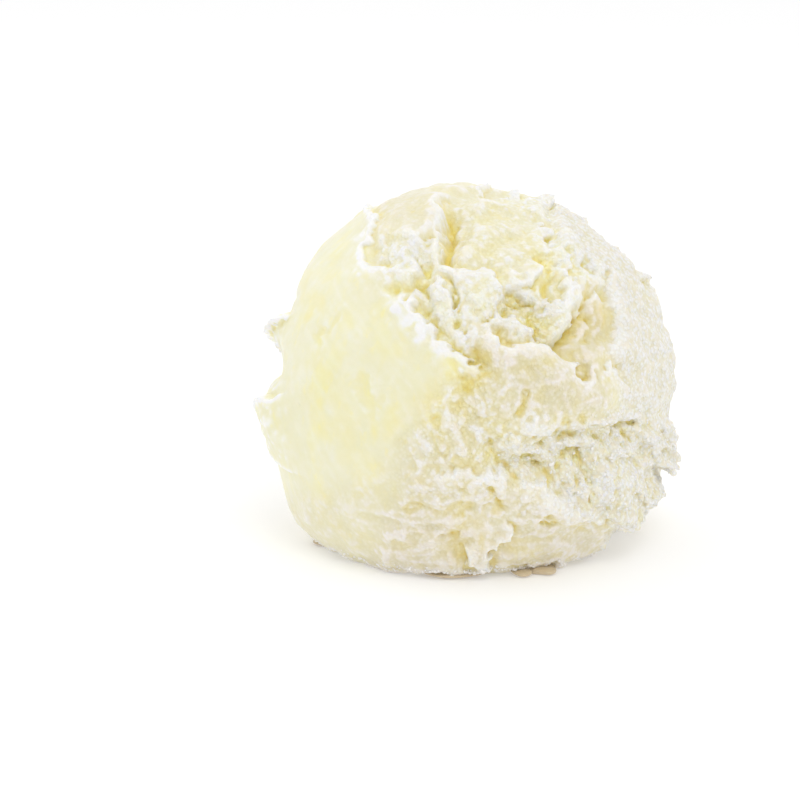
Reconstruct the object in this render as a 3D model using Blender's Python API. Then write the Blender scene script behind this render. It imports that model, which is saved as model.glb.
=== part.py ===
"""A ball-shaped scoop of lemon gelato that stands on its own flat foot.

The scoop is one solid. Its ground shape is a ball whose lower half widens into a
rounded skirt and is cut flat where it stands. Over a sunken rough core lie the torn
sheets, lobes and ledges that the scooping left, each one an outline drawn on the
ball's skin with a height of its own. Small flakes stick out along the sides.
"""

import math

import bmesh
import bpy
import numpy as np
from mathutils import Matrix, Vector, noise

MM = 0.001

# Driving dimensions of the ball and its skirt
BALL_RADIUS = 30.0 * MM
BALL_CENTRE = Vector((0.0, 0.0, 24.2 * MM))
SKIRT_REACH = 28.8 * MM
SKIRT_POWER = 3.2

# The front map is laid round the point that the scoop turns to a viewer at this lift
VIEW_LIFT = math.radians(13.0)

# How the rough core lies under the skin, and how steeply a torn sheet drops to it
CORE_DEPTH = 1.7 * MM
HOLLOW_DEPTH = 4.6 * MM
HOLLOW_BANK = 3.0 * MM
BANK_START = 0.4
TEAR_SLOPE = 2.2
TEAR_ROUNDING = 0.8 * MM
OUTLINE_REACH = 7.0 * MM

# Relief: size of the waves and how far they move the surface
SHEET_ROLL = (11.0 * MM, 0.35 * MM)
CORE_CRAGS = (4.2 * MM, 1.1 * MM)
TORN_EDGE_WAVES = ((6.0 * MM, 1.1 * MM), (2.6 * MM, 0.6 * MM))
NOISE_GAIN = 1.6
SEED_STEP = Vector((17.0, 5.0, 31.0))
FLAKE_BUMPS = (0.6, 0.35)

# Mesh fineness; points of the foot this close to the table are set on it
FOOT_LEVEL = 0.05 * MM
BALL_SUBDIVISIONS = 7
FLAKE_SUBDIVISIONS = 3
TRIANGLES = 10800
GELATO_COLOUR = (0.90, 0.86, 0.64, 1.0)

# Outlines are in mm across and up on the skin. Height is in mm above the skin.
FRONT_LAYERS = (
    # The wide smooth sheet that wraps round the left side
    (0.2, ((-22, 41), (-17, 26), (-16, 19), (-9, 19), (-7, 17), (-11, 13), (-4, 6), (3, 1), (-4, -3),
           (-9, -9), (-17, -15), (-30, -20), (-46, -15), (-58, 4), (-50, 31), (-30, 45))),
    # Tongues that hang from it towards the middle
    (-1.0, ((-22, 38), (-16, 43), (-6, 39), (-4, 27), (-8, 24), (-17, 26))),
    (-1.7, ((-13, 24), (-7, 24), (-3, 16), (-7, 14), (-10, 21))),
    (-3.0, ((-10, 13), (-5, 15), (-3, 11), (-3, 6), (-9, 7))),
    # The shallow bowl that the scoop pressed at the top
    (-3.0, ((-5, 38), (5, 46), (16, 44), (17, 31), (11, 20), (10, 14), (-2, 16), (-3, 28))),
    # Lobes, ledge, petal and column round the hollow
    (-3.4, ((-2, 14), (4, 15), (4, 9), (0, 7))),
    (-2.8, ((2, 8), (9, 9), (13, 6), (12, 4), (4, 5))),
    (-0.8, ((11, 14), (15, 15), (17, 11), (13, 4), (11, 6), (13, 10))),
    (-2.8, ((19, 14), (24, 14), (24, 5), (17, 2))),
    (-1.8, ((13, 27), (19, 23), (25, 17), (21, 15), (13, 16))),
    # The smooth bulge in the middle
    (1.1, ((-1, 2), (2, 7), (13, 4), (20, 3), (24, -2), (20, -6), (7, -8), (1, -5))),
    # The smooth side at the right
    (0.0, ((17, 42), (15, 25), (24, 16), (23, 3), (30, -5), (46, -11), (62, 2), (58, 28), (36, 46))),
    # Ledge, flap and band round the foot
    (0.4, ((-12, -12), (5, -13), (22, -20), (20, -24), (2, -20), (-12, -18))),
    (0.1, ((-15, -19), (4, -20), (6, -24), (3, -32), (-10, -38), (-16, -34))),
    (-0.9, ((-14, -30), (3, -19), (25, -28), (38, -32), (30, -42), (5, -48), (-14, -46))),
    (-0.6, ((-10, -10), (-30, -20), (-50, -22), (-46, -42), (-16, -42))),
    (-1.2, ((21, -6), (31, -6), (46, -12), (40, -29), (24, -24), (8, -14), (8, -9))),
)

BACK_LAYERS = (
    (0.5, ((-25, 34), (0, 42), (24, 34), (33, 19), (22, 4), (6, -4), (-10, -1), (-28, 15))),
    (-1.2, ((-40, 14), (-22, 7), (-5, -4), (-2, -12), (-16, -18), (-32, -14), (-46, -3))),
    (-0.6, ((5, -6), (22, 1), (38, 10), (47, -2), (36, -14), (16, -18), (4, -14))),
    (-0.4, ((-46, -17), (-20, -21), (0, -19), (20, -23), (46, -18), (46, -40), (0, -46), (-46, -40))),
)

# The hollow in the upper middle, between the sheets
HOLLOW = ((-18, 26), (-6, 34), (6, 45), (18, 41), (18, 27), (26, 18), (25, 4), (11, 2), (-2, 1), (-9, 6), (-18, 18))

# Flakes: mm across and up on the skin, half width, half thickness, half length in mm, turn in degrees
FLAKES = (
    (-41.5, 12.0, 2.6, 1.2, 3.0, 20),
    (-44.0, -4.0, 2.6, 1.2, 3.0, 0),
    (-23.5, 41.0, 1.6, 1.0, 2.4, 0),
    (39.5, 25.0, 2.6, 1.1, 2.4, 10),
    (20.0, 42.0, 2.8, 1.0, 1.8, 40),
    (46.5, -14.5, 2.8, 1.2, 3.0, 10),
    (41.0, -29.0, 2.6, 1.2, 2.4, 0),
)


def clear_scene():
    for item in list(bpy.data.objects):
        bpy.data.objects.remove(item, do_unlink=True)


def new_collection(name):
    collection = bpy.data.collections.new(name)
    bpy.context.scene.collection.children.link(collection)
    return collection


def skin_radius(directions):
    """Distance from the ball's centre to its skin: a sphere above, a fuller curve below."""
    level = np.hypot(directions[:, 0], directions[:, 1]) / BALL_RADIUS
    down = np.maximum(-directions[:, 2], 1e-9) / SKIRT_REACH
    below = (level ** SKIRT_POWER + down ** SKIRT_POWER) ** (-1.0 / SKIRT_POWER)
    return np.where(directions[:, 2] < 0.0, below, BALL_RADIUS)


def unrolled(directions, facing, up):
    """Metres across and up on the skin, measured from the point that lies towards `facing`."""
    across = -facing.cross(up)
    x = directions @ np.array(across)
    y = directions @ np.array(up)
    off_axis = np.hypot(x, y)
    angle = np.arctan2(off_axis, directions @ np.array(facing))
    scale = BALL_RADIUS * angle / np.maximum(off_axis, 1e-9)
    return np.stack([x * scale, y * scale], axis=1)


def distance_inside(outline, points):
    """Metres from the outline's edge, positive inside it."""
    corners = np.array(outline) * MM
    nearest = np.full(len(points), np.inf)
    inside = np.zeros(len(points), bool)
    for start, end in zip(corners, np.roll(corners, -1, axis=0)):
        edge = end - start
        offset = points - start
        along = np.clip(offset @ edge / (edge @ edge), 0.0, 1.0)
        nearest = np.minimum(nearest, np.hypot(*(offset - along[:, None] * edge).T))
        if start[1] != end[1]:
            spans = (start[1] > points[:, 1]) != (end[1] > points[:, 1])
            inside ^= spans & (offset[:, 0] < offset[:, 1] * edge[0] / edge[1])
    return np.where(inside, nearest, -nearest)


def waves(positions, size, seed):
    """Smooth noise of about -1 to 1 with bumps of the given size."""
    shift = SEED_STEP * seed
    return np.array([noise.noise(Vector(place) / size + shift) for place in positions]) * NOISE_GAIN


def smooth_step(value):
    t = np.clip(value, 0.0, 1.0)
    return t * t * (3.0 - 2.0 * t)


def relief(directions):
    """Metres that the surface stands above the skin."""
    skin_points = directions * BALL_RADIUS
    front = unrolled(directions, Vector((0, -math.cos(VIEW_LIFT), math.sin(VIEW_LIFT))),
                     Vector((0, math.sin(VIEW_LIFT), math.cos(VIEW_LIFT))))
    back = unrolled(directions, Vector((0, 1, 0)), Vector((0, 0, 1)))
    ragged = sum(depth * waves(skin_points, size, 3 + k)
                 for k, (size, depth) in enumerate(TORN_EDGE_WAVES))
    roll = SHEET_ROLL[1] * waves(skin_points, SHEET_ROLL[0], 1)
    crags = CORE_CRAGS[1] * (1.0 - 2.0 * np.abs(waves(skin_points, CORE_CRAGS[0], 2)))
    sunk = smooth_step(distance_inside(HOLLOW, front) / HOLLOW_BANK + BANK_START)
    height = crags - CORE_DEPTH - HOLLOW_DEPTH * sunk
    for places, layers in ((front, FRONT_LAYERS), (back, BACK_LAYERS)):
        for top_mm, outline in layers:
            inside = distance_inside(outline, places) + ragged
            edge = np.clip(1.0 - inside / TEAR_ROUNDING, 0.0, 1.0)
            rounding = TEAR_ROUNDING * (1.0 - np.sqrt(1.0 - edge * edge))
            top = top_mm * MM + roll - rounding + TEAR_SLOPE * np.minimum(inside, 0.0)
            height = np.where(inside > -OUTLINE_REACH, np.maximum(height, top), height)
    return height


def scoop_mesh():
    """The ball, moved out and in by its relief and cut flat at the foot."""
    ball = bmesh.new()
    bmesh.ops.create_icosphere(ball, subdivisions=BALL_SUBDIVISIONS, radius=1.0)
    directions = np.array([vertex.co[:] for vertex in ball.verts])
    directions /= np.linalg.norm(directions, axis=1)[:, None]
    reach = skin_radius(directions) + relief(directions)
    to_table = BALL_CENTRE.z / np.maximum(-directions[:, 2], 1e-6)
    reach = np.minimum(reach, to_table)
    for vertex, place in zip(ball.verts, directions * reach[:, None]):
        vertex.co = Vector(place) + BALL_CENTRE
    mesh = bpy.data.meshes.new("gelato_scoop")
    ball.to_mesh(mesh)
    ball.free()
    return mesh


def flake_mesh(index, half_width, half_thickness, half_length):
    """A small rough chip, long in Z."""
    chip = bmesh.new()
    bmesh.ops.create_icosphere(chip, subdivisions=FLAKE_SUBDIVISIONS, radius=1.0)
    bump_size, bump_height = FLAKE_BUMPS
    for vertex in chip.verts:
        bump = noise.noise(vertex.co / bump_size + SEED_STEP * index)
        vertex.co = vertex.co * (1.0 + bump_height * bump)
    sizes = (half_width * MM, half_thickness * MM, half_length * MM)
    bmesh.ops.scale(chip, vec=sizes, verts=chip.verts)
    mesh = bpy.data.meshes.new(f"flake_{index}")
    chip.to_mesh(mesh)
    chip.free()
    return mesh


def flake_place(across_mm, up_mm, turn_degrees):
    """Where a flake stands on the front map, its length pointing away from the ball."""
    facing = Vector((0, -math.cos(VIEW_LIFT), math.sin(VIEW_LIFT)))
    up = Vector((0, math.sin(VIEW_LIFT), math.cos(VIEW_LIFT)))
    off_axis = math.hypot(across_mm, up_mm)
    angle = off_axis * MM / BALL_RADIUS
    sideways = (-facing.cross(up) * across_mm + up * up_mm) / off_axis
    outward = facing * math.cos(angle) + sideways * math.sin(angle)
    radius = float(skin_radius(np.array([outward[:]]))[0])
    rim = outward.cross(facing).normalized()
    frame = Matrix((rim, outward.cross(rim), outward)).transposed().to_4x4()
    spin = Matrix.Rotation(math.radians(turn_degrees), 4, "Z")
    return Matrix.Translation(BALL_CENTRE + outward * radius) @ frame @ spin


def add_flakes(scoop):
    """Join the flakes to the scoop with one union."""
    flakes = new_collection("flakes")
    for index, (across, up, width, thickness, length, turn) in enumerate(FLAKES):
        flake = bpy.data.objects.new(f"flake_{index}", flake_mesh(index, width, thickness, length))
        flake.matrix_world = flake_place(across, up, turn)
        flakes.objects.link(flake)
    union = scoop.modifiers.new("flakes", "BOOLEAN")
    union.operation = "UNION"
    union.operand_type = "COLLECTION"
    union.collection = flakes
    union.solver = "EXACT"
    apply_modifiers(scoop)
    for flake in list(flakes.objects):
        bpy.data.objects.remove(flake, do_unlink=True)
    bpy.data.collections.remove(flakes)


def apply_modifiers(item):
    evaluated = item.evaluated_get(bpy.context.evaluated_depsgraph_get())
    mesh = bpy.data.meshes.new_from_object(evaluated)
    item.modifiers.clear()
    item.data = mesh


def reduce_triangles(item):
    """Bring the mesh down to its triangle budget and set its foot level again."""
    triangulate = item.modifiers.new("triangles", "TRIANGULATE")
    triangulate.quad_method = "BEAUTY"
    apply_modifiers(item)
    decimate = item.modifiers.new("fewer", "DECIMATE")
    decimate.ratio = TRIANGLES / len(item.data.polygons)
    apply_modifiers(item)
    for vertex in item.data.vertices:
        if vertex.co.z < FOOT_LEVEL:
            vertex.co.z = 0.0


def gelato_material():
    material = bpy.data.materials.new("lemon_gelato")
    material.use_nodes = True
    shader = material.node_tree.nodes["Principled BSDF"]
    shader.inputs["Base Color"].default_value = GELATO_COLOUR
    shader.inputs["Roughness"].default_value = 0.5
    shader.inputs["Metallic"].default_value = 0.0
    return material


def build():
    clear_scene()
    scoop = bpy.data.objects.new("gelato_scoop", scoop_mesh())
    new_collection("lemon_gelato_scoop").objects.link(scoop)
    bpy.context.view_layer.update()
    add_flakes(scoop)
    reduce_triangles(scoop)
    scoop.data.materials.clear()
    scoop.data.materials.append(gelato_material())
    scoop.data.shade_smooth()


build()
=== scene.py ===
"""Looks of the lemon gelato scoop.

The relief is drawn on two charts of the ball's skin, one of the front and one of the back:
broad swells, torn crests that fall away on one side, channels and grain. The charts lift the
skin of a solid field on a fine grid, small lumps are joined to it where it is crumbly, and the
field becomes one closed mesh, which stands for the plain solid of the frame.
Lengths in the modelling half of the script are in mm; Blender gets metres.
"""

import math
from concurrent.futures import ThreadPoolExecutor

import bmesh
import bpy
import numpy as np
import openvdb
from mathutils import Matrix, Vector


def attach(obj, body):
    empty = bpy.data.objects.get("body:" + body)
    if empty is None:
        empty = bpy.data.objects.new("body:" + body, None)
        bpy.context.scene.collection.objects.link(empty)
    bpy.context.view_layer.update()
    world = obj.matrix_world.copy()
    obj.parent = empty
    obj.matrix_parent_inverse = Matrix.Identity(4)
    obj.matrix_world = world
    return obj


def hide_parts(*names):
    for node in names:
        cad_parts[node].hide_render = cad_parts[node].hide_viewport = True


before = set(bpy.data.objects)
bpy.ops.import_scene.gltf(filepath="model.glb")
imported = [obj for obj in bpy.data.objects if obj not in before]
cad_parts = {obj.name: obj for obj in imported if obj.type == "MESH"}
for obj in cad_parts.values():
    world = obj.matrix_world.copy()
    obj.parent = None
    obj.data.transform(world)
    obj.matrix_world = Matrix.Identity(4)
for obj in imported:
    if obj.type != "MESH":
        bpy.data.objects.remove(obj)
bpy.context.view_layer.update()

MM = 0.001

# The ball and its skirt, as in the solid
BALL_RADIUS = 30.0
BALL_HEIGHT = 24.2
SKIRT_REACH = 28.8
SKIRT_POWER = 3.2
VIEW_LIFT = math.radians(13.0)

# Grid of the field
GRID_STEP = 0.25
GRID_LOW = (-37.0, -34.5, -1.2)
GRID_HIGH = (37.0, 34.5, 58.0)
SHELL_INSIDE = 6.0
SHELL_OUTSIDE = 4.0
FIELD_LIMIT = 3.0
TRIANGLE_LIMIT = 196000

# Smooth noise: knots before it repeats, and the deviation of the raw spline
NOISE_KNOTS = 256
NOISE_DEVIATION = 0.48

# Charts: a facing direction, and the direction that is up on the chart
FRONT = ((0.0, -math.cos(VIEW_LIFT), math.sin(VIEW_LIFT)), (0.0, math.sin(VIEW_LIFT), math.cos(VIEW_LIFT)))
BACK = ((0.0, 1.0, 0.0), (0.0, 0.0, 1.0))
CHART_REACH = 64.0
CHART_STEP = 0.15
CLIFF_WIDTH = 0.3
CREST_FADE = 2.5
CREST_WINDOW = 11.0
THIN_FLAKE = 0.85
FULL_CREST = 1.2
FULL_CHANNEL = 0.8

# The foot: inside FOOT_RADIUS it stands on the floor, outside that its rim is lifted
FOOT_RADIUS = 21.5
FOOT_BANK = 2.5
FOOT_LIFT = 1.2

# What the skin is like where no region says otherwise. rim is the white of a torn edge, partly frost and
# partly painted highlight; deep is yellow, partly the gelato's own stains and partly painted shade in
# hollows and under edges; the last value is painted shade on faces that get less light
PLAIN_SKIN = {"rim": 0, "deep": 0, "crumb": 0.08, "grain": 0.2, "frost": 0.1, "painted_shade": 0.3}
REGION_BANKS = {"crumb": 3.5, "grain": 5, "frost": 5, "painted_shade": 9}
# Widths of the white band on a torn edge and of the paler band behind it, partly frost and partly painted
# highlight
RIM_WIDTH = 0.5
PALE_BAND = 1.5

# Lumps in the crumbly places: how many a square mm, their radius, and how far out in radii
LUMP_SEED = 5
LUMPS = ((0.02, (0.5, 1.0), (-0.8, -0.3)), (0.3, (0.28, 0.48), (-0.7, -0.1)))
LUMP_BLEND = 0.3

# Radius of the balls in which it is read how hollow or proud a place is
NARROW_BALL = 0.9
WIDE_BALL = 2.6

# Loose crumbs, sunk by a share of their radius
CRUMB_SEED = 22
CRUMBS = 1500
CRUMB_RADIUS = (0.14, 0.32)
CRUMB_SINK = (0.2, 0.8)
CRUMB_FLOOR = 0.6

# Melted drops under the rim of the foot: angle, half width and half depth in mm
DROP_SEED = 31
DROP_REACH = 22.8
DROP_TALL = 0.6
DROP_BELLY = 0.9
DROPS = (
    (-97, 4.4, 2.4), (-70, 1.6, 2.2), (-62, 2.2, 2.5), (14, 3.0, 2.0), (31, 1.6, 1.8),
    (96, 3.6, 2.1), (115, 1.8, 1.9), (163, 2.4, 1.9), (196, 2.8, 2.0),
)

# Colours
CREAM = (0.90, 0.87, 0.63)
LEMON = (0.98, 0.90, 0.43)
FROST = (1.0, 0.975, 0.95)
# Painted shade: a beige where less light falls, a tint between grains and a warm tint in hollows
SHADE_BEIGE = (0.82, 0.775, 0.72)
GAP_SHADE = (0.92, 0.895, 0.81)
HOLLOW_SHADE = (1.0, 0.945, 0.70)
MELT = (0.66, 0.52, 0.32)
MELT_PALE = (0.72, 0.64, 0.50)

# Light: each lamp's place, width and power
LAMPS = {"key": ((-0.45, 0.25, 0.6), 0.3, 0.4), "fill": ((0.2, -0.65, 0.75), 0.5, 2.1)}
FLOOR_GLOW = 0.25
BRIGHT_SIDE = (0.0, 0.8, 0.55)
ROOM_BRIGHT = 0.98
ROOM_DARK = 0.42

# Camera, in metres, but the lens in mm; the picture is square, and its middle is left of the ball's
CAMERA_DISTANCE = 0.4555
CAMERA_LENS = 135.0
CAMERA_SENSOR = 36.0
PICTURE = 800
BALL_PIXEL = (470, 380)

# Noise of the field: bump size in mm, seed and stretch along each axis
CLOUDS = {
    "crag": (2.0, 3),
    "crumb": (1.0, 4),
    "grain": (0.5, 5),
    "strata": (1.2, 6, (2.2, 2.2, 0.8)),
}

# Relief on the charts, in mm across and up.
# Swell: how high, how wide its bank is, and its outline.
# Crest: rise, drop, how far it runs out behind and before, and its line; the high side is on the left.
# Channel: half width, depth and line.
# Stain and shade: how yellow, how wide its border is, and its outline; yellow in crevices, hollows, dents
# and under edges is painted shade, on open skin it is the gelato's own.
# Region: how crumbly, grainy and frosty, how much painted shade it has where less light falls, and its
# outline.
FRONT_SWELLS = (
    # Fuller at the right, drawn in at the lower right and at the left
    (0.9, 8, "36 1, 58 0, 56 30, 38 22, 35 8"),
    (-2.4, 7, "26 -30, 40 -26, 56 -34, 46 -60, 20 -56"),
    (-1.3, 5, "-36 14, -54 15, -54 26, -38 22"),
    (-2.2, 5, "-38 0, -54 0, -54 6.5, -39 6.5"),
    # Hollow
    (-1.5, 3, "-11 17.5, -9.5 20.5, -7.5 25, -5 31, -4 40, 7 45, 17 42, 15 26.5, 18 23, 23.5 18, 24.5 13.5, "
     "23.5 7, 20.5 5.5, 16 4, 12 5, 6.5 5.5, 1.5 7, 1 4.5, 2.5 1, -1 2, -3.5 4.5, -6.5 7, -11 12.5, "
     "-8 16.5"),
    # Yellow patch beside the lobe
    (-0.9, 2.5, "-17.5 22, -16.5 24.5, -11.5 24.5, -9 22.5, -9.5 19.5, -11.5 18, -15 18.5"),
    # Bowl
    (-1, 5, "-2.5 32.5, 5.5 35, 13.5 33.5, 12.5 24.5, 8 18.5, 3 18, -1.5 20"),
    # Wide crevice right of the tongue
    (-1.3, 2.5, "-4 32, -1 32, 0 27, -1 22, -3 19.5, -4.5 24"),
    # Grainy hollow
    (-0.6, 2.5, "4 14, 10.5 13.5, 12 12, 11.5 6.5, 9.5 8, 6 10, 4 9.5"),
    # Right crags
    (0.8, 4, "14.5 30, 18 23.5, 22.5 20, 23 16, 17.5 14.5, 14 15, 12.5 19"),
    # Bulge
    (0.9, 6, "2.5 5, 10 4, 18.5 1, 21 -2, 18.5 -5.5, 12 -6.5, 6 -6, 3 -2"),
    # Crumbly side
    (-0.8, 5, "3.5 -8.5, 13.5 -7, 22.5 -6.5, 33.5 -8.5, 32 -14, 19.5 -14.5, 11 -16, 5 -13.5"),
    # Shelf over the foot
    (0.7, 4, "-4.5 -13.5, 4.5 -14.5, 14.5 -17.5, 26.5 -16, 42 -22, 37.5 -29.5, 14.5 -20.5, 4.5 -18.5, "
     "-4.5 -18"),
    # Low band
    (-0.7, 4, "3 -21.5, 15 -22, 37 -32.5, 29 -37, 20.5 -41, 3.5 -33.5"),
)

FRONT_CRESTS = (
    # Flakes that stand out at the left edge of the view
    (2.4, 1.8, 4, 2.5, "-54 9.5, -46 10, -39 11, -33 12.5"),
    (1.5, 2.2, 2, 1.5, "-53 6, -45 6.5, -38 7.5"),
    (3.2, 2, 9, 3, "-31 -2, -38 -4, -46 -5.5, -54 -5.5"),
    # At the top left, the top right and the right
    (1, 1.2, 1.2, 1.2, "-20 37, -24 40, -27 46"),
    (1.1, 1.6, 2.2, 0.8, "15 38, 18.5 43, 22 49"),
    (0.9, 1.2, 1.8, 0.8, "0.5 41, 3 45, 5 50"),
    (0.6, 0.9, 1.2, 0.8, "8 41, 10 45, 11 49"),
    (0.9, 1.2, 1.5, 0.8, "24 32, 27 36.5, 31 42"),
    (1.2, 1.4, 3, 1.5, "34 20, 40 24, 47 27"),
    (0.4, 0.9, 3.5, 2, "37 -13, 45 -13.5, 52 -13"),
    (2.6, 3.2, 4, 2.5, "36 -16.5, 44 -18.5, 52 -20"),
    (1.2, 1.8, 2.5, 1.5, "32 -26, 39 -29, 46 -32"),
    # Long torn edge of the left sheet
    (0.45, 1.9, 2.2, 2, "2 1, 0.5 1.5, -1 2, -2.5 3, -3.5 4.5, -3.5 5.5, -5.5 7, -6.5 7, -8 8.5, -10 10.5, "
     "-11.5 12.5"),
    # Its upper part
    (0.2, 0.8, 1.8, 2.5, "-11 18.5, -12.5 17.5, -15 18.5, -16.5 19.5, -18.5 23, -18 26, -18 29.5, -21 36, "
     "-21.5 41"),
    # Lobe of the left sheet
    (0.6, 1.7, 3, 1.6, "-11 13, -9.5 14.5, -8.5 16.5, -8 18.5, -9 21.5"),
    # Tongue at the top
    (0.48, 1.5, 3.9, 1.5, "-6.5 24, -5.5 25.5, -5 26.5, -4.5 28.5, -5.5 30, -6 33, -5.5 37.5"),
    # Lobe under the tongue
    (0.42, 1.2, 4.8, 1.2, "-2.5 15.5, -3 18, -4 20, -5 22.5, -5.5 24, -7.5 24.5, -9 25"),
    # Lump left of the long crevice
    (0.6, 1.3, 4.8, 1.2, "-2.5 8, -3 10, -3 11.5, -3 13, -4 13.5, -5 15, -5.5 15, -6.5 14.5, -8 13.5"),
    # Pillar right of it
    (0.27, 0.9, 5.8, 1.5, "5 14, 3.5 14.5, 2.5 16.5, 1.5 18, 0 17.5, -2 18, -2.5 20"),
    # Foot of the bowl
    (0.42, 1.8, 5.8, 2.5, "3.5 14.5, 5 14.5, 6.5 14, 9 13.5, 11 13.5"),
    # Shelf over that
    (0.4, 1.5, 4, 1.5, "4.5 14.5, 7 15, 9.5 16.5, 11.5 18, 12 21"),
    # Left wall of the grainy hollow
    (0.3, 1, 3.9, 2, "4.5 8.5, 3.5 11, 4 14"),
    # Ledge under the grainy hollow
    (0.54, 1.5, 4.8, 2, "11.5 5.5, 10 6.5, 9.5 8, 7.5 8.5, 6 10, 5 10, 4 9.5, 2.5 8, 1 7"),
    # Small lumps left of the ledge
    (0.36, 0.9, 3.9, 1.2, "2 6.5, 0.5 7, -0.5 6.5, -1 7, -2 7.5, -3 8.5"),
    # Top of the bulge
    (0.6, 2.2, 7.8, 2, "19.5 2, 17.5 1, 16 1.5, 14.5 3.5, 13.5 4, 11 5, 8.5 5, 6.5 5, 4.5 5.5, 3 6.5, "
     "1.5 7"),
    (0.4, 0.8, 5, 1.5, "27 -2, 24.5 1, 21.5 2.5, 19 2.5"),
    # Petal
    (1.2, 1.8, 2.4, 1.5, "12 4.5, 13.5 6, 15 8, 17 11, 17 12.5, 16 14, 15 15, 13.5 13.5, 12 13.5, 11 13.5, "
     "9.5 13.5"),
    # Column
    (0.36, 0.8, 3.9, 1.5, "25 13, 22.5 14, 21.5 14.5, 19 13, 17.5 11.5"),
    # Inner edge of the right side
    (0.15, 0.7, 3.9, 1.5, "18.5 23, 20.5 20.5, 22.5 19, 24 17.5, 24.5 14.5, 24.5 10.5, 23.5 6, 22 3"),
    # Crags of the upper right
    (0.36, 0.9, 3.9, 1, "14.5 22.5, 13.5 25, 13 27, 13 30, 11.5 33"),
    (0.42, 0.9, 3, 1.5, "14.5 14.5, 16 16.5, 17 19, 16.5 20.5, 16 23"),
    # Shelves of the right side
    (0.5, 1.3, 1.5, 1.5, "13.5 -13, 14.5 -12, 16.5 -11, 18.5 -12, 20.5 -14"),
    (0.5, 0.9, 1.5, 1.2, "4.5 -10.5, 6.5 -9.5, 9 -10, 11.5 -10.5, 13.5 -10"),
    (0.4, 0.8, 1.2, 1.2, "6.5 -7, 8.5 -6.5, 10.5 -7, 12 -6.5, 14.5 -6"),
    (0.5, 0.7, 1.2, 1.2, "23 -11, 26 -13, 29.5 -16.5"),
    (0.6, 1, 2, 1.5, "22.5 -14.5, 20 -15, 18 -15.5, 16.5 -16, 14.5 -17, 12.5 -17, 11 -16.5, 9.5 -15.5, "
     "6 -15"),
    (0.6, 1, 1.5, 2, "18 -5, 20.5 -6, 23 -6.5, 25.5 -6.5, 28.5 -6, 33.5 -7"),
    # Layers along the right edge
    (0.5, 0.9, 1.2, 1, "36 -9.5, 43.5 -14.5, 43.5 -18, 42.5 -21, 40 -24.5"),
    (0.5, 0.9, 1.2, 1, "29.5 -9, 35 -13, 41 -19.5, 39.5 -23.5, 37.5 -27"),
    (0.4, 0.7, 1, 1, "27 -16, 30.5 -20, 32.5 -25, 33 -30.5"),
    # Lower ledge
    (0.8, 1.1, 3, 2, "6.5 -15, 5 -13, 4.5 -14, 3.5 -14, 2 -13, 0 -12, -2 -12.5, -3.5 -13.5, -6 -13"),
    # Flap with its leg
    (0.8, 1.3, 2, 1.5, "-0.5 -23, 0.5 -28, 1.5 -31.5, 2.5 -31.5, 2.5 -28, 3 -25.5, 4 -25, 5 -24, 6.5 -23.5, "
     "5.5 -21.5, 4 -19.5"),
    # Broken rim at the foot
    (0.4, 0.7, 1.5, 1.5, "14 -22, 16 -21.5, 19 -21.5, 24 -23.5, 32 -31.5, 33 -33.5"),
    (0.4, 0.7, 1.5, 1.5, "40.5 -26.5, 38 -28.5, 35 -31, 28.5 -30.5, 21.5 -27.5"),
)

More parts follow.
